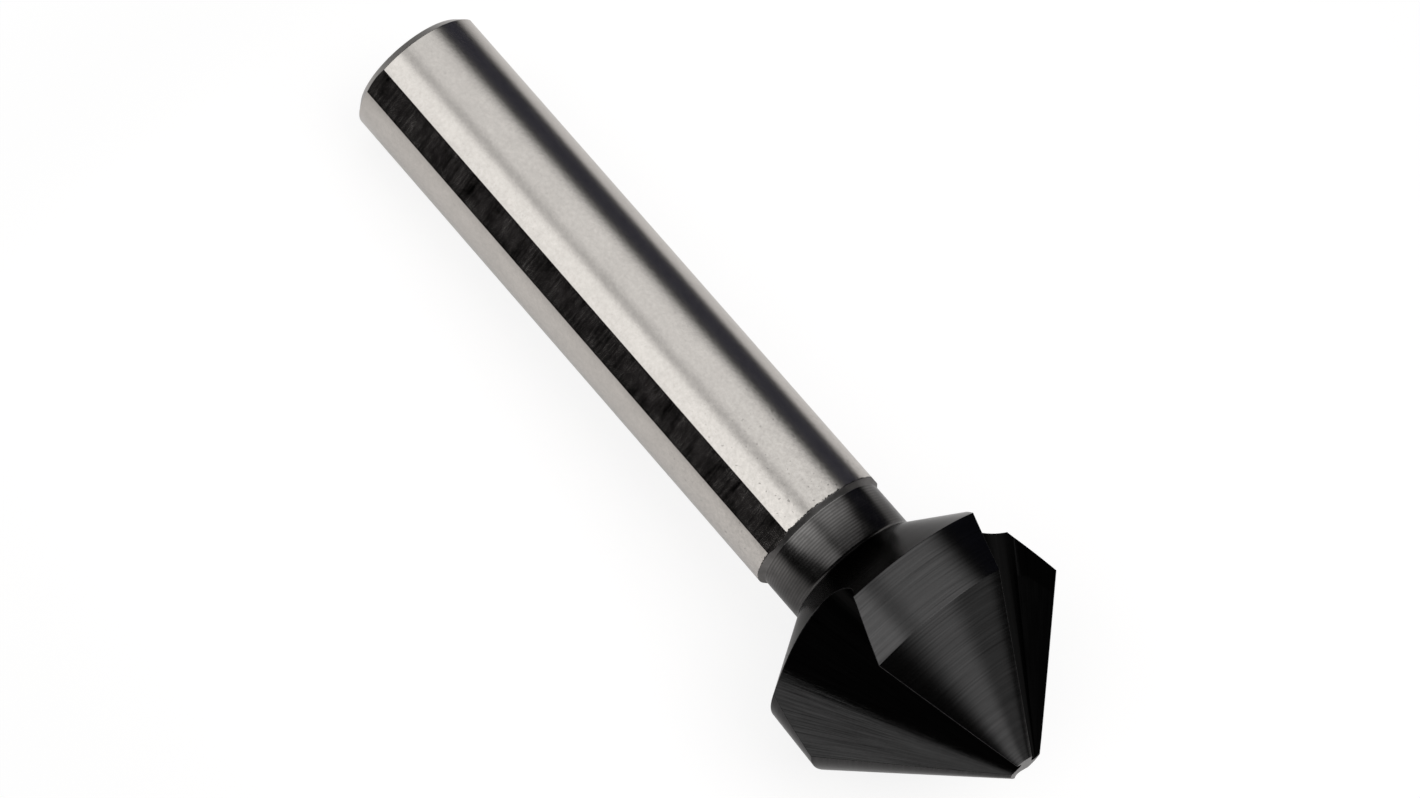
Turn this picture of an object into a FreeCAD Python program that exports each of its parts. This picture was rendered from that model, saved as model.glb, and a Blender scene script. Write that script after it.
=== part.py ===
# A 90 degree countersink with three flutes, on a straight shank with three narrow flats.
# It is one piece of tool steel, turned, fluted and then ground.
# The tool is built along +X, from the middle of its shank end, and is then laid down the way it comes to rest.
# An azimuth is an angle about the tool's axis, from +Z towards +Y.
# The tool cuts towards falling azimuth, which is clockwise as seen from the shank.
import FreeCAD, Part
import os
from math import cos, radians, sin, sqrt, tan
from FreeCAD import Placement, Rotation, Vector

# Head, in millimetres and degrees
total_length = 63.0
head_diameter = 20.5
point_angle = 90.0
tip_diameter = 2.82
margin_length = 4.4  # the band behind the cone
margin_taper = 2.2  # how much the band narrows towards the back, against the axis
back_angle = 55.5  # the cone behind the band, against the axis

# Shank and neck
shank_diameter = 10.0
shank_length = 42.35
end_chamfer = 0.55
neck_diameter = 9.4
neck_step_length = 0.33
neck_fillet = 0.4

# Flats that stop the shank from turning in a chuck
flat_count = 3
flat_depth = 0.11
flat_lead = 15.3  # how far a flat lies ahead of a cutting edge

# Flutes, measured in the plane where the cone meets the band; they shrink evenly towards the point
flute_count = 3
land_angle = 58.5
rake_angle = 19.0  # the rake face against the radius, at the cutting edge
heel_angle = 19.5  # the flute's wall against the radius, at the heel of the land ahead
root_radius = 2.05
wall_radius = 37.0

# Relief that is ground off each land at its heel
margin_relief = 0.12
cone_relief = 0.35

# Stock that the turned head keeps for that grind, and how far a cutter runs past what it cuts
stock_allowance = 1.0
overrun = 1.0

# Places along the axis, and radii, that follow from the sizes above
head_radius = head_diameter / 2
tip_radius = tip_diameter / 2
shank_radius = shank_diameter / 2
neck_radius = neck_diameter / 2
cone_slope = tan(radians(point_angle / 2))
margin_slope = tan(radians(margin_taper))
back_slope = tan(radians(back_angle))
margin_radius = head_radius - margin_length * margin_slope
cone_height = head_radius / cone_slope
apex_x = total_length + tip_radius / cone_slope
base_x = apex_x - cone_height
margin_x = base_x - margin_length
neck_x = shank_length + neck_step_length
neck_end_x = margin_x - (margin_radius - neck_radius) / back_slope
flute_pitch = 360.0 / flute_count
flute_angle = flute_pitch - land_angle
axis = Vector(1, 0, 0)


def around(radius, azimuth, x=0.0):
    """A point at a distance from the tool's axis, in a direction around it."""
    return Vector(x, radius * sin(radians(azimuth)), radius * cos(radians(azimuth)))


def cutting_azimuths():
    """Where the cutting edges of the lands stand; one land is on top and one flute is below."""
    return [k * flute_pitch - land_angle / 2 for k in range(flute_count)]


def flat_azimuths():
    """Where the flats face."""
    return [cutting_azimuths()[0] - flat_lead + k * 360.0 / flat_count for k in range(flat_count)]


def turned_blank():
    """The lathe's work: shank, neck and a head with stock left for the relief grind."""
    stock_radius = head_radius + stock_allowance
    stock_tip_radius = tip_radius + stock_allowance * (1 + cone_slope)
    outline = [
        (0, 0),
        (0, shank_radius - end_chamfer),
        (end_chamfer, shank_radius),
        (shank_length, shank_radius),
        (neck_x, neck_radius),
        (neck_end_x, neck_radius),
        (margin_x + (stock_radius - margin_radius) / back_slope, stock_radius),
        (base_x + stock_allowance, stock_radius),
        (total_length, stock_tip_radius),
        (total_length, 0),
        (0, 0),
    ]
    corners = [around(radius, flat_azimuths()[0], x) for x, radius in outline]
    blank = Part.Face(Part.makePolygon(corners)).revolve(Vector(), axis, 360)
    return round_neck(blank)


def round_neck(blank):
    """The fillet where the neck runs into the back of the head."""
    corner = [
        edge
        for edge in blank.Edges
        if isinstance(edge.Curve, Part.Circle)
        and abs(edge.Curve.Center.x - neck_end_x) < 1e-6
        and abs(edge.Curve.Radius - neck_radius) < 1e-6
    ]
    return blank.makeFillet(neck_fillet, corner)


def flat_cutters():
    """One block per flat, which stands on the flat and runs from the shank's end to the neck."""
    floor = shank_radius - flat_depth
    cutters = []
    for azimuth in flat_azimuths():
        block = Part.makeBox(
            neck_x + overrun, shank_diameter, shank_radius, Vector(-overrun, -shank_radius, floor)
        )
        block.rotate(Vector(), axis, -azimuth)
        cutters.append(block)
    return cutters


def relief_cutters():
    """What the grinder takes off each land, whose round and cone run off centre towards the heel."""
    rear_x = neck_end_x + neck_fillet
    front_x = total_length + overrun
    reach = head_radius + 3 * stock_allowance
    rear_radius = head_radius - (base_x - rear_x) * margin_slope
    front_radius = head_radius + (front_x - base_x) * margin_slope
    outside_margin = [(rear_x, rear_radius), (front_x, front_radius), (front_x, reach), (rear_x, reach)]
    outside_cone = [(apex_x, 0), (apex_x, reach), (apex_x - reach / cone_slope, reach)]
    fall = sin(radians(land_angle))
    cutters = []
    for start in cutting_azimuths():
        for outline, relief in ((outside_margin, margin_relief), (outside_cone, cone_relief)):
            centre = around(relief / fall, start - 90)
            first = start - flute_angle / 2
            corners = [centre + around(radius, first, x) for x, radius in outline]
            profile = Part.Face(Part.makePolygon(corners + corners[:1]))
            cutters.append(profile.revolve(centre, -axis, flute_pitch))
    return cutters


def flute_section(distance, azimuth):
    """The flute's outline in the plane at a distance behind the cone's apex."""
    edge = around(head_radius, azimuth)
    rake = around(-1, azimuth - rake_angle)
    rake_normal = around(1, azimuth - rake_angle - 90)
    heel = around(head_radius, azimuth - flute_angle)
    wall = around(-1, azimuth - flute_angle - heel_angle)
    wall_centre = heel + around(wall_radius, azimuth - flute_angle - heel_angle + 90)

    # The root's centre lies one root radius off the rake face and touches the wall from inside
    offset = edge + rake_normal * root_radius - wall_centre
    along = offset.dot(rake)
    depth = sqrt(along**2 - offset.dot(offset) + (wall_radius - root_radius) ** 2) - along
    root_centre = edge + rake_normal * root_radius + rake * depth
    rake_foot = root_centre - rake_normal * root_radius
    to_wall = (root_centre - wall_centre).normalize()
    wall_foot = wall_centre + to_wall * wall_radius
    bisector = ((rake_foot - root_centre) + (wall_foot - root_centre)).normalize()
    root_middle = root_centre + bisector * root_radius
    to_middle = ((heel - wall_centre) + (wall_foot - wall_centre)).normalize()
    wall_middle = wall_centre + to_middle * wall_radius

    edge_outer = edge - rake * head_radius
    heel_outer = heel - wall * head_radius
    far_corner = around(3 * head_radius, azimuth - flute_angle / 2)

    scale = distance / cone_height
    place = Vector(apex_x - distance, 0, 0)
    points = [edge_outer, rake_foot, root_middle, wall_foot, wall_middle, heel, heel_outer, far_corner]
    p = [place + point * scale for point in points]
    return Part.Wire(
        [
            Part.makeLine(p[0], p[1]),
            Part.Arc(p[1], p[2], p[3]).toShape(),
            Part.Arc(p[3], p[4], p[5]).toShape(),
            Part.makeLine(p[5], p[6]),
            Part.makeLine(p[6], p[7]),
            Part.makeLine(p[7], p[0]),
        ]
    )


def flute_cutters():
    """The flutes' cutters, which run from just ahead of the point to past the back of the head."""
    near = tip_radius / cone_slope / 4
    far = apex_x - neck_end_x + overrun
    return [
        Part.makeLoft([flute_section(near, azimuth), flute_section(far, azimuth)], True, True)
        for azimuth in cutting_azimuths()
    ]


def tool_along_axis():
    body = turned_blank()
    body = body.cut(flat_cutters())
    body = body.cut(relief_cutters())
    body = body.cut(flute_cutters())
    return body.removeSplitter()


def resting_up(tool):
    """The direction that points up when the tool lies on its shank's rim and on two of its lands."""
    points = [point for edge in tool.Edges for point in edge.discretize(40)]
    shank = [point for point in points if point.x < shank_length / 2]
    left = [point for point in points if point.x > neck_end_x and point.y < 0]
    right = [point for point in points if point.x > neck_end_x and point.y > 0]
    up = Vector(0, 0, 1)
    for _ in range(20):
        a, b, c = [min(group, key=up.dot) for group in (shank, left, right)]
        up = (c - a).cross(b - a).normalize()
        if up.z < 0:
            up = -up
    return up


def laid_down(tool):
    """The tool at rest on the ground, with its point towards +X and the origin below its middle."""
    up = resting_up(tool)
    side = up.cross(axis).normalize()
    ahead = side.cross(up)
    turn = Rotation(ahead, side, up, "ZXY").inverted()
    tool.Placement = Placement(Vector(), turn).multiply(tool.Placement)
    box = tool.optimalBoundingBox()
    tool.translate(Vector(-box.Center.x, -box.Center.y, -box.ZMin))
    return tool


os.makedirs("parts", exist_ok=True)
laid_down(tool_along_axis()).exportStep("parts/countersink_bit.step")
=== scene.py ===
# A 90 degree countersink with three flutes, lying on a pale floor.
import math

import bpy
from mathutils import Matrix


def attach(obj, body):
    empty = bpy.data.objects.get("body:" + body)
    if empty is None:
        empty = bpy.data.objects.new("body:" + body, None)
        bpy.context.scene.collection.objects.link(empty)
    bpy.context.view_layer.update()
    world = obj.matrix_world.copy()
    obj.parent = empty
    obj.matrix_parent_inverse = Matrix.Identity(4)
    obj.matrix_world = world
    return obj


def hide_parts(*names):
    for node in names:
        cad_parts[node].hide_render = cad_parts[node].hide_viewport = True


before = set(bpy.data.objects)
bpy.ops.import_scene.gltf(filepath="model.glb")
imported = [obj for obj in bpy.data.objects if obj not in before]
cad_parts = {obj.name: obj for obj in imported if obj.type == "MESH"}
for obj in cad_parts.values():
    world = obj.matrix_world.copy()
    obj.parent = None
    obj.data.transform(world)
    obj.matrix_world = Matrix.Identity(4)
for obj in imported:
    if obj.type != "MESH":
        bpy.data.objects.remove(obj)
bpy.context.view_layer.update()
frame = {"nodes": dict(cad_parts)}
print("frame loaded:", ", ".join(frame["nodes"]))

millimetre = 0.001
turn = math.tau  # a whole turn, in radians
pureWhite = (1.0, 1.0, 1.0)

toolPlace = dict(
    shankEnd=(-0.0312652, -0.0000908, 0.0049312),  # the middle of the shank's end face, in metres
    turned=(math.radians(6.61696), math.radians(-4.64974), 0.0),  # at rest on its shank and two lands
)


class Wire:  # a socket that can be used in sums
    def __init__(self, board, socket):
        self.board = board
        self.socket = socket

    def out(self, name):  # another output of the same node
        return Wire(self.board, self.socket.node.outputs[name])

    def __add__(self, other):
        return self.board.maths("ADD", self, other)

    def __radd__(self, other):
        return self.board.maths("ADD", other, self)

    def __sub__(self, other):
        return self.board.maths("SUBTRACT", self, other)

    def __rsub__(self, other):
        return self.board.maths("SUBTRACT", other, self)

    def __mul__(self, other):
        return self.board.maths("MULTIPLY", self, other)

    def __rmul__(self, other):
        return self.board.maths("MULTIPLY", other, self)

    def __truediv__(self, other):
        return self.board.maths("DIVIDE", self, other)

    def __rtruediv__(self, other):
        return self.board.maths("DIVIDE", other, self)

    def __neg__(self):
        return self.board.maths("MULTIPLY", self, -1.0)

    def __gt__(self, other):
        return self.board.maths("GREATER_THAN", self, other)

    def __lt__(self, other):
        return self.board.maths("LESS_THAN", self, other)


class Board:  # a node tree, and the short ways to fill it
    def __init__(self, tree):
        self.tree = tree
        tree.nodes.clear()

    def add(self, kind, settings=None, values=None):
        node = self.tree.nodes.new(kind)
        for name, setting in (settings or {}).items():
            if name == "choices":  # how many an Index Switch has
                for _ in range(setting - len(node.index_switch_items)):
                    node.index_switch_items.new()
            elif name == "captured":  # what a Capture Attribute keeps
                node.capture_items.new("FLOAT", setting)
            else:
                setattr(node, name, setting)
        for name, value in (values or {}).items():
            self.feed(node.inputs[name], value)
        shown = [socket for socket in node.outputs if socket.enabled]
        return Wire(self, shown[0] if shown else None)

    def feed(self, socket, value):
        if isinstance(value, Wire):
            self.tree.links.new(value.socket, socket)
        elif socket.type == "RGBA":
            socket.default_value = [*value, 1.0]
        else:
            socket.default_value = value

    def maths(self, operation, *values):  # on vectors where one of the values is a vector
        vectors = [isinstance(value, Wire) and value.socket.type == "VECTOR" for value in values]
        kind = "ShaderNodeVectorMath" if any(vectors) else "ShaderNodeMath"
        return self.add(kind, dict(operation=operation), dict(enumerate(values)))

    def join(self, x, y, z):
        return self.add("ShaderNodeCombineXYZ", None, {0: x, 1: y, 2: z})

    def split(self, wire):
        parts = self.add("ShaderNodeSeparateXYZ", None, {0: wire})
        return parts.out("X"), parts.out("Y"), parts.out("Z")

    def step(self, value, start, end):  # 0 at the start, 1 at the end, smooth between
        settings = dict(interpolation_type="SMOOTHSTEP")
        values = {"Value": value, "From Min": start, "From Max": end}
        return self.add("ShaderNodeMapRange", settings, values)

    def pick(self, index, choices):
        settings = dict(data_type="FLOAT", choices=len(choices))
        values = {number + 1: choice for number, choice in enumerate(choices)}
        return self.add("GeometryNodeIndexSwitch", settings, {0: index, **values})


def sine(angle):
    return angle.board.maths("SINE", angle)


def cosine(angle):
    return angle.board.maths("COSINE", angle)


def tangent(angle):
    return angle.board.maths("TANGENT", angle)


def root(value):
    return value.board.maths("SQRT", value)


def wrapped(value, length):  # what is left of a value once whole lengths are taken off
    return value.board.maths("FLOORED_MODULO", value, length)


# The tool's sizes in millimetres and degrees: what is turned, then what flats and flutes take away
toolSizes = dict(
    totalLength=63.0,
    headDiameter=20.5,
    pointAngle=90.0,
    tipDiameter=2.82,
    marginLength=4.4,  # the band behind the cone
    marginTaper=2.2,
    backAngle=55.5,  # the cone behind the band
    shankDiameter=10.0,
    shankLength=42.35,
    endChamfer=0.55,
    neckDiameter=9.4,
    neckStep=0.33,
    neckFillet=0.4,
    flatDepth=0.11,
    flatLead=15.3,  # how far around a flat lies ahead of a cutting edge
    landAngle=58.5,
    rakeAngle=19.0,
    heelAngle=19.5,
    rootRadius=2.05,
    wallRadius=37.0,
    marginRelief=0.12,
    coneRelief=0.35,
)
toolSteps = dict(turn=240, fillet=10, margin=3, cone=12, root=16, wall=24)  # facets along each stretch
fluteCount = 3  # and as many lands and flats
overrun = 1.0  # how far a cutter runs past what it cuts, in millimetres
tipSlack = 0.001  # how far behind the point's face counts as on it, in millimetres
smoothUnder = 8.5  # an edge that turns by fewer degrees than this is shaded smooth


def ringedTube(board, columns, rows):  # a closed tube, whose points know their row and column
    values = {"Vertices": columns, "Side Segments": rows - 1, "Radius": 1.0, "Depth": rows - 1.0}
    tube = board.add("GeometryNodeMeshCylinder", dict(fill_type="NGON"), values)
    x, y, z = board.split(board.add("GeometryNodeInputPosition"))
    row = board.maths("ROUND", z + (rows - 1) / 2)
    column = board.maths("ROUND", board.maths("ARCTAN2", y, x) * (columns / turn))
    return tube, row, wrapped(column, float(columns))


def moved(board, mesh, x, y, z):
    values = {"Geometry": mesh, "Position": board.join(x, y, z)}
    return board.add("GeometryNodeSetPosition", None, values)


def finished(board, mesh, material, selection=True):
    values = {"Geometry": mesh, "Selection": selection, "Material": material}
    return board.add("GeometryNodeSetMaterial", None, values)


def repeatedAround(board, mesh, startAzimuth):  # once for each flute, about the tool's axis
    values = {"Count": fluteCount, "Offset": (0.0, 0.0, 0.0)}
    spots = board.add("GeometryNodeMeshLine", dict(mode="OFFSET"), values)
    azimuth = board.add("GeometryNodeInputIndex") * (turn / fluteCount) + startAzimuth
    values = {"Points": spots, "Instance": mesh, "Rotation": board.join(-azimuth, 0.0, 0.0)}
    copies = board.add("GeometryNodeInstanceOnPoints", None, values)
    return board.add("GeometryNodeRealizeInstances", None, {"Geometry": copies})


def places(size):  # slopes, radii, and where things stand along the axis
    slope = dict(
        cone=tangent(size["pointAngle"] / 2),
        margin=tangent(size["marginTaper"]),
        back=tangent(size["backAngle"]),
    )
    radius = {name: size[name + "Diameter"] / 2 for name in ("head", "tip", "shank", "neck")}
    apex = size["totalLength"] + radius["tip"] / slope["cone"]
    base = apex - radius["head"] / slope["cone"]
    margin = base - size["marginLength"]
    marginRadius = radius["head"] - size["marginLength"] * slope["margin"]
    neckEnd = margin - (marginRadius - radius["neck"]) / slope["back"]
    return slope, radius, dict(apex=apex, base=base, margin=margin, neckEnd=neckEnd)


def turnedBlank(board, size):
    slope, radius, x = places(size)
    counts = toolSteps
    rows = 4 + (counts["fillet"] + 1) + (counts["margin"] + 1) + counts["cone"]
    tube, row, column = ringedTube(board, counts["turn"], rows)
    firstFlat = size["landAngle"] * -0.5 - size["flatLead"]
    azimuth = firstFlat - column * (turn / counts["turn"])

    # The margin and the cone of each land run off centre, so that they fall away towards its heel
    pitch = turn / fluteCount
    lead = (pitch - size["landAngle"]) / 2
    pastEdge = wrapped(azimuth + size["landAngle"] * 0.5 + lead, pitch) - lead

    def offCentre(relief):
        offset = relief / sine(size["landAngle"])
        return offset * sine(pastEdge), offset * cosine(pastEdge)

    def relieved(own, relief):  # how far from the axis a round of its own radius lies off centre
        along, across = offCentre(relief)
        return root(own * own - across * across) - along

    def marginReach(place):
        own = radius["head"] - (x["base"] - place) * slope["margin"]
        return relieved(own, size["marginRelief"])

    def coneReach(place):
        return relieved((x["apex"] - place) * slope["cone"], size["coneRelief"])

    # Each end of the margin depends on how far out the margin is there, so it is found in a few rounds
    backEdge = x["margin"]
    for _ in range(3):
        backEdge = x["neckEnd"] + (marginReach(backEdge) - radius["neck"]) / slope["back"]
    frontEdge = x["base"]
    along, across = offCentre(size["coneRelief"])
    for _ in range(4):
        reach = marginReach(frontEdge) + along
        frontEdge = x["apex"] - root(reach * reach + across * across) / slope["cone"]

    stations = [  # along the axis, and out from it
        (0.0, radius["shank"] - size["endChamfer"]),
        (size["endChamfer"], radius["shank"]),
        (size["shankLength"], radius["shank"]),
        (size["shankLength"] + size["neckStep"], radius["neck"]),
    ]
    filletX = x["neckEnd"] - size["neckFillet"] * tangent(size["backAngle"] / 2)
    for number in range(counts["fillet"] + 1):
        angle = size["backAngle"] * (number / counts["fillet"])
        rise = size["neckFillet"] * (1.0 - cosine(angle))
        stations.append((filletX + size["neckFillet"] * sine(angle), radius["neck"] + rise))
    for number in range(counts["margin"] + 1):
        place = backEdge + (frontEdge - backEdge) * (number / counts["margin"])
        stations.append((place, marginReach(place)))
    for number in range(counts["cone"]):
        place = frontEdge + (size["totalLength"] - frontEdge) * ((number + 1) / counts["cone"])
        stations.append((place, coneReach(place)))

    along = board.pick(row, [station[0] for station in stations])
    reach = board.pick(row, [station[1] for station in stations])
    return moved(board, tube, along, reach * sine(azimuth), reach * cosine(azimuth)), x


def heading(azimuth):  # across and up, for the cutting edge at azimuth 0
    return sine(azimuth), cosine(azimuth)


def shifted(point, direction, distance):
    return point[0] + direction[0] * distance, point[1] + direction[1] * distance


def fluteOutline(board, size, head):  # in the plane where the cone meets the margin
    fluteAngle = turn / fluteCount - size["landAngle"]
    ball, wall = size["rootRadius"], size["wallRadius"]
    middle = (0.0, 0.0)
    edge = (0.0, head)
    rake = heading(turn / 2 - size["rakeAngle"])
    rakeNormal = heading(-size["rakeAngle"] - turn / 4)
    heel = shifted(middle, heading(-fluteAngle), head)
    wallDown = heading(turn / 2 - fluteAngle - size["heelAngle"])
    wallNormal = heading(turn / 4 - fluteAngle - size["heelAngle"])
    wallCentre = shifted(heel, wallNormal, wall)

    # The root's centre lies one root radius off the rake face and touches the wall from inside
    start = shifted(edge, rakeNormal, ball)
    offset = start[0] - wallCentre[0], start[1] - wallCentre[1]
    along = offset[0] * rake[0] + offset[1] * rake[1]
    apart = offset[0] * offset[0] + offset[1] * offset[1]
    depth = root(along * along - apart + (wall - ball) * (wall - ball)) - along
    rootCentre = shifted(start, rake, depth)

    # The root's arc turns from the rake face to the wall, and the wall's arc from there to the heel
    rakeTurn = turn / 4 - size["rakeAngle"]
    toWall = board.maths("ARCTAN2", rootCentre[0] - wallCentre[0], rootCentre[1] - wallCentre[1])
    sweep = wrapped(toWall - rakeTurn, turn)
    heelTurn = -fluteAngle - size["heelAngle"] - turn / 4
    climb = board.maths("WRAP", heelTurn - toWall, turn / 2, -turn / 2)
    points = [shifted(edge, rake, -head)]
    for number in range(toolSteps["root"] + 1):
        towards = heading(rakeTurn + sweep * (number / toolSteps["root"]))
        points.append(shifted(rootCentre, towards, ball))
    for number in range(1, toolSteps["wall"] + 1):
        towards = heading(toWall + climb * (number / toolSteps["wall"]))
        points.append(shifted(wallCentre, towards, wall))
    points.append(shifted(heel, wallDown, -head))
    points.append(shifted(middle, heading(fluteAngle * -0.5), head * 3.0))  # well outside the tool
    return points


def fluteCutter(board, size, materials):  # one outline, shrunk evenly towards the cone's apex
    slope, radius, x = places(size)
    points = fluteOutline(board, size, radius["head"])
    tube, row, column = ringedTube(board, len(points), 2)
    tube = finished(board, tube, materials["flute"])
    inRoot = (column > 1.0) * (column < toolSteps["root"] + 1.0)
    # the root's faces get the root coat, whose darker colour is painted shade in the hollow
    tube = finished(board, tube, materials["root"], inRoot)
    near = radius["tip"] / slope["cone"] / 4  # a quarter of the way from the apex to the point's face
    far = x["apex"] - x["neckEnd"] + overrun
    distance = near + (far - near) * row
    scale = distance / (x["apex"] - x["base"])
    across = board.pick(column, [point[0] for point in points]) * scale
    up = board.pick(column, [point[1] for point in points]) * scale
    return moved(board, tube, x["apex"] - distance, across, up)


def flatCutter(board, size):
    thickness = 5.0  # far more than a flat is deep
    floor = size["shankDiameter"] / 2 - size["flatDepth"]
    length = size["shankLength"] + size["neckStep"] + overrun * 2
    extent = board.join(length, size["shankDiameter"], thickness)
    block = board.add("GeometryNodeMeshCube", None, {"Size": extent})
    place = board.join(length / 2 - overrun, 0.0, floor + thickness / 2)
    return board.add("GeometryNodeTransform", None, {"Geometry": block, "Translation": place})


def less(board, body, cutters):
    settings = dict(operation="DIFFERENCE", solver="EXACT")
    return board.add("GeometryNodeMeshBoolean", settings, {"Mesh 1": body, "Mesh 2": cutters})


def smoothed(board, body):  # with the true edges kept sharp
    values = {"Geometry": body, "Shade Smooth": True}
    body = board.add("GeometryNodeSetShadeSmooth", dict(domain="FACE"), values)
    edgeTurn = board.add("GeometryNodeInputMeshEdgeAngle").out("Unsigned Angle")
    values = {"Geometry": body, "Shade Smooth": edgeTurn < math.radians(smoothUnder)}
    return board.add("GeometryNodeSetShadeSmooth", dict(domain="EDGE"), values)


def cutTool(board, size, materials, place):  # along the x axis, in millimetres
    body, x = turnedBlank(board, size)
    body = finished(board, body, materials["shank"])
    body = finished(board, body, materials["end"], place < size["endChamfer"])
    body = finished(board, body, materials["neck"], place > size["shankLength"])
    body = finished(board, body, materials["head"], place > x["neckEnd"])
    firstEdge = size["landAngle"] * -0.5
    flats = finished(board, flatCutter(board, size), materials["flat"])
    body = less(board, body, repeatedAround(board, flats, firstEdge - size["flatLead"]))
    flutes = fluteCutter(board, size, materials)
    body = less(board, body, repeatedAround(board, flutes, firstEdge))
    return smoothed(board, body)


def laidDown(board, body, size, material, place):  # in metres, at rest, and its point's face finished last
    settings = dict(domain="FACE", captured="place")
    held = board.add("GeometryNodeCaptureAttribute", settings, {"Geometry": body, "place": place})
    values = {"Geometry": held, "Translation": toolPlace["shankEnd"], "Rotation": toolPlace["turned"]}
    values["Scale"] = (millimetre,) * 3
    body = board.add("GeometryNodeTransform", None, values)
    body = board.add("GeometryNodeRealizeInstances", None, {"Geometry": body})
    return finished(board, body, material, held.out("place") > size["totalLength"] - tipSlack)


def buildTool(materials):
    tree = bpy.data.node_groups.new("countersinkBuild", "GeometryNodeTree")
    board = Board(tree)
    tree.interface.new_socket("Geometry", in_out="OUTPUT", socket_type="NodeSocketGeometry")
    sockets = {}
    for name in toolSizes:
        socket = tree.interface.new_socket(name, in_out="INPUT", socket_type="NodeSocketFloat")
        sockets[name] = socket.identifier
    entry = board.add("NodeGroupInput")
    size = {}
    for name in toolSizes:
        isAngle = name.endswith(("Angle", "Taper", "Lead"))
        size[name] = board.maths("RADIANS", entry.out(name)) if isAngle else entry.out(name)
    place = board.split(board.add("GeometryNodeInputPosition"))[0]
    body = cutTool(board, size, materials, place)
    body = laidDown(board, body, size, materials["tip"], place)
    board.add("NodeGroupOutput", None, {0: body})

    holder = bpy.data.objects.new("countersinkHolder", bpy.data.meshes.new("countersinkHolder"))
    bpy.context.scene.collection.objects.link(holder)
    modifier = holder.modifiers.new("build", "NODES")
    modifier.node_group = tree
    for name, value in toolSizes.items():
        modifier[sockets[name]] = value
    bpy.context.view_layer.update()
    evaluated = holder.evaluated_get(bpy.context.evaluated_depsgraph_get())
    tool = bpy.data.objects.new("countersink", bpy.data.meshes.new_from_object(evaluated))
    bpy.context.scene.collection.objects.link(tool)
    bpy.data.objects.remove(holder)
    return tool


def toolCoordinates(board):  # along the axis, across and up, in millimetres from the shank's end
    point = board.add("ShaderNodeTexCoord").out("Object")
    values = {"Vector": point, "Location": toolPlace["shankEnd"], "Rotation": toolPlace["turned"]}
    values["Scale"] = (millimetre,) * 3
    return board.add("ShaderNodeMapping", dict(vector_type="TEXTURE"), values)


def grain(board, point, stretch, detail=3.0, roughness=0.55):  # noise from about -1 to 1
    values = {"Vector": point * board.join(*stretch), "Scale": 1.0}
    values.update({"Detail": detail, "Roughness": roughness})
    return board.add("ShaderNodeTexNoise", dict(normalize=True), values) * 4.0 - 2.0


def finish(name):
    material = bpy.data.materials.new(name)
    material.use_nodes = True
    return material, Board(material.node_tree)


edgeRadius = 0.06  # how far the edges are rounded, in millimetres
coatGlance = 0.5  # how much the black coating reflects at a glancing angle, where bare steel has 1


def bumped(board, height, depth):  # depth in millimetres
    rounded = board.add("ShaderNodeBevel", dict(samples=6), {"Radius": edgeRadius * millimetre})
    values = {"Height": height, "Strength": 1.0, "Distance": depth * millimetre, "Normal": rounded}
    return board.add("ShaderNodeBump", None, values)


def tinted(board, level, tint):  # a colour, brighter or darker by a wire
    return board.join(level * tint[0], level * tint[1], level * tint[2])


def surfaced(board, look, level, rough, normal=None):  # metal in the finish's own colour
    values = {"Base Color": tinted(board, level, look["colour"]), "Metallic": 1.0, "Roughness": rough}
    values["Specular Tint"] = (look.get("glance", 1.0),) * 3
    if normal is not None:
        values["Normal"] = normal
    shader = board.add("ShaderNodeBsdfPrincipled", None, values)
    board.add("ShaderNodeOutputMaterial", None, {"Surface": shader})


# In the finishes, places along the tool, depths and pitches are in millimetres, and a grain is
# stretched to so many waves in a millimetre along the axis, across and up
shankFinish = dict(
    colour=(0.465, 0.443, 0.417),
    roughness=0.225,
    marked=(28.0, 42.0),  # the marks get stronger from here to there
    rearMarks=0.1,  # how strong they are before that
    speckle=0.16,
    evenSpeckle=0.45,  # the share of the speckle that is as strong everywhere
    speckleRoughness=0.01,
    speckleGrain=dict(stretch=(3.4, 3.4, 3.4), roughness=0.65),
    blotch=0.05,
    blotchGrain=dict(stretch=(0.5, 0.9, 0.9)),
    pit=0.45,
    pitted=(0.65, 0.9),  # how high the grain is where a pit begins, and where it is full
    pitRoughness=0.03,
    pitGrain=dict(stretch=(3.2, 3.2, 3.2), detail=2.0),
    coat=(42.27, 42.31),  # where the coating begins, and where it is full
    ragged=0.11,  # how far that edge wanders
    coatLevel=0.04,
    coatRoughness=0.15,
    coatGrain=dict(stretch=(4.0, 4.0, 4.0), detail=4.0, roughness=0.7),
    rippleDepth=0.0012,
    rippleGrain=dict(stretch=(6.0, 3.0, 3.0)),
)


def groundSteel():
    material, board = finish("groundSteel")
    look = shankFinish
    point = toolCoordinates(board)
    x = board.split(point)[0]
    speckle = grain(board, point, **look["speckleGrain"])
    blotch = grain(board, point, **look["blotchGrain"])
    pits = board.step(grain(board, point, **look["pitGrain"]), *look["pitted"])
    marks = board.step(x, *look["marked"]) * (1.0 - look["rearMarks"]) + look["rearMarks"]
    speckleShare = marks * (1.0 - look["evenSpeckle"]) + look["evenSpeckle"]
    level = 1.0 + speckle * look["speckle"] * speckleShare
    level = level + blotch * look["blotch"] - pits * marks * look["pit"]
    edge = x + grain(board, point, **look["coatGrain"]) * look["ragged"]
    coated = board.step(edge, *look["coat"])
    level = level * (1.0 - coated * (1.0 - look["coatLevel"]))
    rough = look["roughness"] + speckle * look["speckleRoughness"] + pits * look["pitRoughness"]
    rough = rough + coated * look["coatRoughness"]
    ripple = grain(board, point, **look["rippleGrain"])
    surfaced(board, look, level, rough, bumped(board, ripple, look["rippleDepth"]))
    return material


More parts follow.
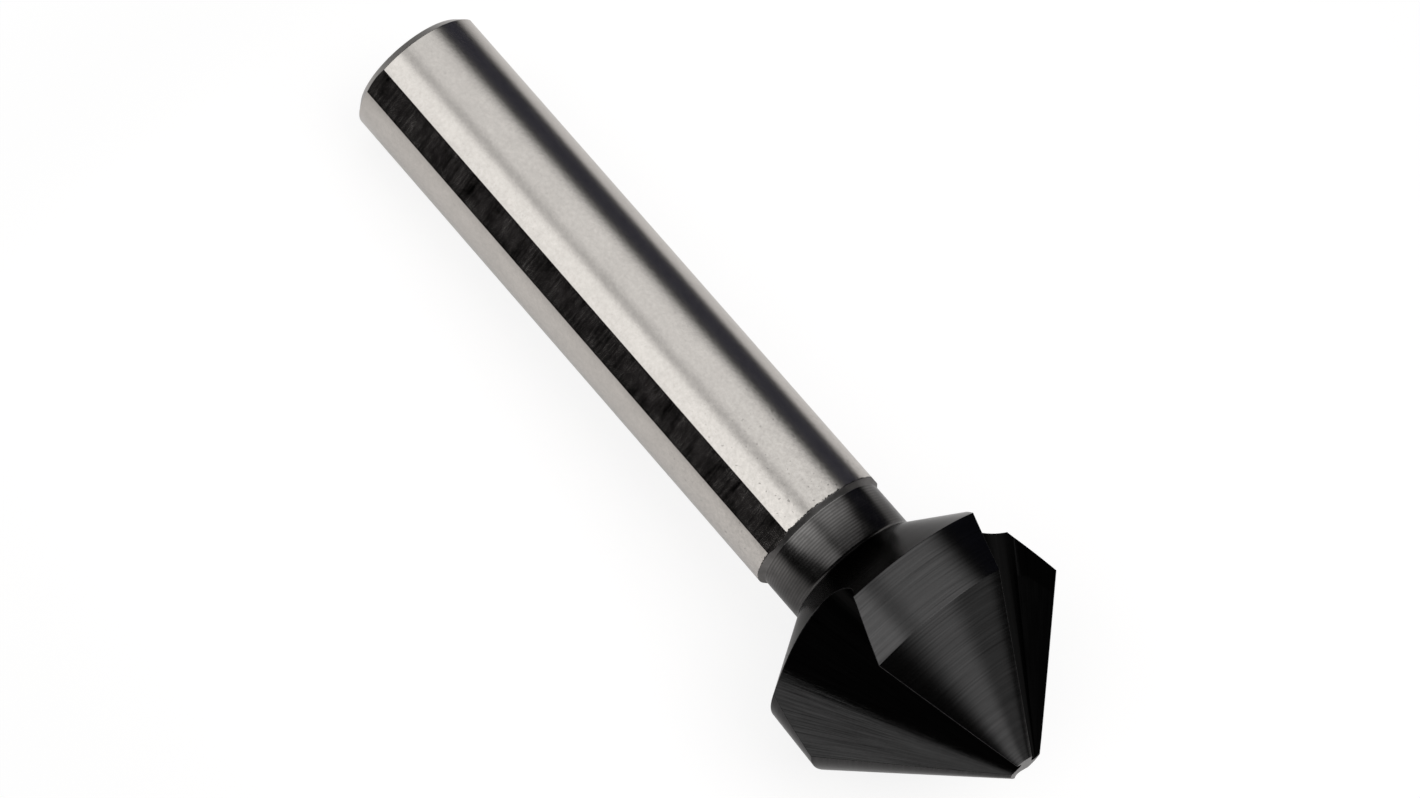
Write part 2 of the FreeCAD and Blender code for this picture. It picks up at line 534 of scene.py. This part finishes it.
endFinish = dict(
    colour=(0.31, 0.30, 0.287),
    roughness=0.3,
    ring=0.1,
    ringRoughness=0.04,
    ringDepth=0.0008,
    ringGrain=dict(stretch=(14.0, 14.0, 0.0)),  # outwards, and along
)


def turnedSteel():  # the shank's end and its bevel
    material, board = finish("turnedSteel")
    look = endFinish
    x, y, z = board.split(toolCoordinates(board))
    rings = grain(board, board.join(root(y * y + z * z), x, 0.0), **look["ringGrain"])
    level = 1.0 + rings * look["ring"]
    rough = look["roughness"] + rings * look["ringRoughness"]
    surfaced(board, look, level, rough, bumped(board, rings, look["ringDepth"]))
    return material


flatFinish = dict(
    colour=(0.42, 0.395, 0.38),
    roughness=0.13,
    streak=0.85,
    streakDepth=0.001,
    streakGrain=dict(stretch=(6.0, 0.4, 0.4), roughness=0.6),
    spot=0.7,
    spotRoughness=0.04,
    spotGrain=dict(stretch=(0.8, 0.8, 0.8), detail=5.0, roughness=0.75),
    darkest=0.1,
    rim=0.7,
    rimAngles=(11.25, 11.5),  # degrees around from a flat's middle, where its dark rim begins and is full
)


def flatSteel():  # ground across the tool, with a dark rim
    material, board = finish("flatSteel")
    look = flatFinish
    point = toolCoordinates(board)
    y, z = board.split(point)[1:]
    streaks = grain(board, point, **look["streakGrain"])
    spots = grain(board, point, **look["spotGrain"])
    firstFlat = math.radians(-toolSizes["landAngle"] / 2 - toolSizes["flatLead"])
    pitch = turn / fluteCount
    past = wrapped(board.maths("ARCTAN2", y, z) - firstFlat + pitch / 2, pitch) - pitch / 2
    rimAngles = [math.radians(angle) for angle in look["rimAngles"]]
    rim = board.step(board.maths("ABSOLUTE", past), *rimAngles)
    level = 1.0 + streaks * look["streak"] + spots * look["spot"]
    level = board.maths("MAXIMUM", level, look["darkest"]) * (1.0 - rim * look["rim"])
    rough = look["roughness"] + spots * look["spotRoughness"]
    surfaced(board, look, level, rough, bumped(board, streaks, look["streakDepth"]))
    return material


neckFinish = dict(
    colour=(1.0, 0.97, 0.95),
    rear=0.097,
    front=0.062,
    between=(43.0, 45.0),  # where the rear's level ends, and where the front's begins
    roughness=0.22,
    glance=0.65,
    ring=0.4,
    evenRing=0.6,  # the share of the rings that the cloud leaves alone
    ringDepth=0.0006,
    ringPitch=0.21,  # the marks of the lathe tool
    cloud=0.34,
    cloudShift=0.35,  # how far it moves the place where the levels change
    cloudRoughness=0.05,
    cloudGrain=dict(stretch=(0.9, 0.9, 0.9), detail=5.0, roughness=0.7),
    step=(42.74, 42.66),  # where the worn step has ended, and where it is still whole
    stepLevel=0.17,
    stepCloud=0.3,
    stepRoughness=0.2,
    slope=0.03,  # the shading alone runs up towards the head, by this
    curve=0.02,  # and more steeply by this
)


def neckCoat():  # thin at the shank, where the steel's colour comes through
    material, board = finish("neckCoat")
    look = neckFinish
    point = toolCoordinates(board)
    x = board.split(point)[0]
    cloud = grain(board, point, **look["cloudGrain"])
    ringShare = look["evenRing"] + cloud * (1.0 - look["evenRing"])
    rings = sine(x * (turn / look["ringPitch"])) * ringShare
    towardsHead = board.step(x + cloud * look["cloudShift"], *look["between"])
    level = look["rear"] + (look["front"] - look["rear"]) * towardsHead
    level = level * (1.0 + rings * look["ring"] + cloud * look["cloud"])
    worn = board.step(x, *look["step"])  # the step, where the coating is thin
    level = level + worn * (look["stepLevel"] * (1.0 + cloud * look["stepCloud"]) - level)
    rough = look["roughness"] + cloud * look["cloudRoughness"] + worn * look["stepRoughness"]
    past = x - toolSizes["shankLength"]
    height = past * (past * look["curve"] + look["slope"]) + rings * look["ringDepth"]
    surfaced(board, look, level, rough, bumped(board, height, 1.0))
    return material


headFinish = dict(
    colour=(1.0, 0.985, 0.985),
    level=0.049,
    roughness=0.18,
    glance=coatGlance,
    line=0.34,
    lineDepth=0.0012,
    lineGrain=dict(stretch=(11.0, 0.15, 0.15), detail=2.0),
    dust=0.08,
    dustRoughness=0.02,
    dustGrain=dict(stretch=(8.0, 8.0, 8.0)),
)


def headCoat():  # black, with the marks of the grinding wheel around the lands
    material, board = finish("headCoat")
    look = headFinish
    point = toolCoordinates(board)
    lines = grain(board, point, **look["lineGrain"])
    dust = grain(board, point, **look["dustGrain"])
    level = look["level"] * (1.0 + lines * look["line"] + dust * look["dust"])
    rough = look["roughness"] + dust * look["dustRoughness"]
    surfaced(board, look, level, rough, bumped(board, lines, look["lineDepth"]))
    return material


fluteFinish = dict(
    colour=(1.0, 0.99, 0.99),
    level=0.045,
    roughness=0.035,
    glance=coatGlance,
    line=0.6,
    lineDepth=0.00025,
)
# painted shade: the root's coat is painted far darker than the flute's, to darken the flute's hollow
rootShadedFinish = dict(
    colour=(1.0, 0.98, 0.97),
    level=0.005,
    roughness=0.3,
    glance=coatGlance,
    line=0.2,
    lineDepth=0.0006,
)
fluteMarks = dict(  # of both
    lineGrain=dict(stretch=(130.0, 130.0, 0.3), roughness=0.6),  # over the outline, and along
    dust=0.12,
    dustRoughness=0.01,
    dustDepth=0.5,  # as a share of the lines' depth
    dustGrain=dict(stretch=(5.0, 5.0, 5.0), detail=4.0, roughness=0.8),
)


def fluteCoat(name, look):  # ground along the flute, towards the point
    material, board = finish(name)
    marks = fluteMarks
    point = toolCoordinates(board)
    x, y, z = board.split(point)
    fromApex = toolSizes["totalLength"] + toolSizes["tipDiameter"] / 2 - x
    outline = board.join(y / fromApex, z / fromApex, x)
    lines = grain(board, outline, **marks["lineGrain"])
    dust = grain(board, point, **marks["dustGrain"])
    level = look["level"] * (1.0 + lines * look["line"] + dust * marks["dust"])
    rough = look["roughness"] + dust * marks["dustRoughness"]
    height = lines + dust * marks["dustDepth"]
    surfaced(board, look, level, rough, bumped(board, height, look["lineDepth"]))
    return material


tipFinish = dict(
    colour=(0.034, 0.032, 0.030),
    roughness=0.3,
    spot=0.6,
    spotRoughness=0.04,
    spotGrain=dict(stretch=(6.0, 6.0, 6.0)),
)


def tipSteel():
    material, board = finish("tipSteel")
    look = tipFinish
    spots = grain(board, toolCoordinates(board), **look["spotGrain"])
    rough = look["roughness"] + spots * look["spotRoughness"]
    surfaced(board, look, 1.0 + spots * look["spot"], rough)
    return material


toolMaterials = dict(
    shank=groundSteel(),
    end=turnedSteel(),
    flat=flatSteel(),
    neck=neckCoat(),
    head=headCoat(),
    flute=fluteCoat("fluteCoat", fluteFinish),
    # the root coat: painted shade in the flute's hollow
    root=fluteCoat("rootShadedCoat", rootShadedFinish),
    tip=tipSteel(),
)
tool = buildTool(toolMaterials)
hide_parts("countersink_bit")
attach(tool, "root")
print("tool built:", len(tool.data.vertices), "points,", len(tool.data.polygons), "faces")

# The floor: white in the picture, with the tool's soft shadow, and lit less well away from the tool
floorLook = dict(
    radius=2.5,
    sides=64,
    colour=(0.985, 0.965, 0.96),
    shadowShare=0.22,
    whiteLevel=1.06,
    mirrorShare=0.1,
    mirrorLevel=1.3,
    reach=dict(ahead=0.09, behind=0.018, left=0.055, right=0.085),  # how far the floor is well lit
    toolHalf=0.03,
)


def wellLit(board):  # 1 beside the tool, and less away from it
    x, y = board.split(board.add("ShaderNodeTexCoord").out("Object"))[:2]
    reach, half = floorLook["reach"], floorLook["toolHalf"]
    ahead = board.maths("MAXIMUM", x - half, 0.0) / reach["ahead"]
    behind = board.maths("MAXIMUM", -x - half, 0.0) / reach["behind"]
    left = board.maths("MAXIMUM", -y, 0.0) / reach["left"]
    right = board.maths("MAXIMUM", y, 0.0) / reach["right"]
    far = ahead * ahead + behind * behind
    for side in (left, right):
        far = far + side * side * side * side
    return 1.0 / (far + 1.0)


def buildFloor():
    look = floorLook
    bpy.ops.mesh.primitive_circle_add(vertices=look["sides"], radius=look["radius"], fill_type="NGON")
    floor = bpy.context.object
    floor.name = "floor"
    material, board = finish("paleFloor")
    near = wellLit(board)
    matt = board.add("ShaderNodeBsdfDiffuse", None, {"Color": tinted(board, near, look["colour"])})
    values = {"Color": pureWhite, "Strength": near * look["mirrorLevel"]}
    mirrored = board.add("ShaderNodeEmission", None, values)
    values = {"Color": pureWhite, "Strength": look["whiteLevel"]}
    white = board.add("ShaderNodeEmission", None, values)
    path = board.add("ShaderNodeLightPath")
    reflected = path.out("Is Glossy Ray") * look["mirrorShare"]
    seen = path.out("Is Camera Ray") * (1.0 - near * look["shadowShare"])
    both = board.add("ShaderNodeMixShader", None, {0: reflected, 1: matt, 2: mirrored})
    both = board.add("ShaderNodeMixShader", None, {0: seen, 1: both, 2: white})
    board.add("ShaderNodeOutputMaterial", None, {"Surface": both})
    floor.data.materials.append(material)


buildFloor()
print("floor laid")

# The studio's light by direction: soft boxes overhead, cards beyond the point, and dark in between
studio = dict(
    boxes=[  # where each begins, is full, begins to fall and ends: ahead and aside, at unit height
        dict(ahead=(-1.42, -1.02, 0.10, 0.60), aside=(-3.6, -2.8, -0.52, -0.32), level=1.65),
        dict(ahead=(0.10, 0.60, 0.775, 0.80), aside=(-3.6, -2.8, -0.52, -0.32), level=0.71),
        dict(ahead=(-0.95, -0.62, 0.75, 0.95), aside=(-0.52, -0.32, -0.26, -0.02), level=0.72),
        dict(ahead=(-0.95, -0.62, 0.75, 0.95), aside=(-0.26, -0.02, 0.60, 1.50), level=1.26),
        dict(ahead=(-0.05, 0.20, 0.75, 0.95), aside=(-0.30, 0.00, 0.80, 1.30), level=1.30),
    ],
    cards=[  # the same around the tool and up, in degrees
        dict(around=(-10, 9, 17, 30), up=(1, 6, 21, 27), colour=(1.25, 1.25, 1.25)),
        dict(around=(17, 30, 42, 45), up=(-1, 1, 15, 20), colour=(0.46, 0.46, 0.46)),
        dict(around=(84, 98, 122, 134), up=(-4, 3, 22, 34), colour=(0.017, 0.018, 0.036)),
    ],
    fill=(0.020, 0.0195, 0.0195),
    lowest=0.02,  # the height that stands in for any lower one, so that nothing is divided by 0
)


def buildStudio():
    world = bpy.data.worlds.new("studio")
    bpy.context.scene.world = world
    world.use_nodes = True
    board = Board(world.node_tree)
    x, y, z = board.split(board.add("ShaderNodeTexCoord").out("Generated"))
    height = board.maths("MAXIMUM", z, studio["lowest"])
    ahead, aside = x / height, y / height
    azimuth = board.maths("ARCTAN2", y, x)
    rise = board.maths("ARCSINE", z)

    def ramped(value, marks):
        return board.step(value, marks[0], marks[1]) * board.step(value, marks[3], marks[2])

    colour = board.join(*studio["fill"])
    for box in studio["boxes"]:
        share = ramped(ahead, box["ahead"]) * ramped(aside, box["aside"]) * (z > 0.0)
        colour = colour + board.join(*pureWhite) * (share * box["level"])
    for card in studio["cards"]:
        around = [math.radians(angle) for angle in card["around"]]
        up = [math.radians(angle) for angle in card["up"]]
        colour = colour + board.join(*card["colour"]) * (ramped(azimuth, around) * ramped(rise, up))
    light = board.add("ShaderNodeBackground", None, {"Color": colour, "Strength": 1.0})
    white = board.add("ShaderNodeBackground", None, {"Color": pureWhite, "Strength": 1.0})
    seen = board.add("ShaderNodeLightPath").out("Is Camera Ray")
    both = board.add("ShaderNodeMixShader", None, {0: seen, 1: light, 2: white})
    board.add("ShaderNodeOutputWorld", None, {"Surface": both})


buildStudio()

cameraPlace = dict(
    location=(0.08276742, -0.13646587, 0.37929217),
    turned=(21.85147611, -8.26953747, 51.07271234),
    lens=157.2834,
    sensor=36.0,
    nearest=0.01,
)


def buildCamera():
    lens = bpy.data.cameras.new("camera")
    lens.lens = cameraPlace["lens"]
    lens.sensor_width = cameraPlace["sensor"]
    lens.clip_start = cameraPlace["nearest"]
    camera = bpy.data.objects.new("camera", lens)
    camera.location = cameraPlace["location"]
    camera.rotation_euler = [math.radians(angle) for angle in cameraPlace["turned"]]
    bpy.context.scene.collection.objects.link(camera)
    bpy.context.scene.camera = camera


buildCamera()
bpy.context.scene.view_settings.view_transform = "Standard"
print("camera and light set")
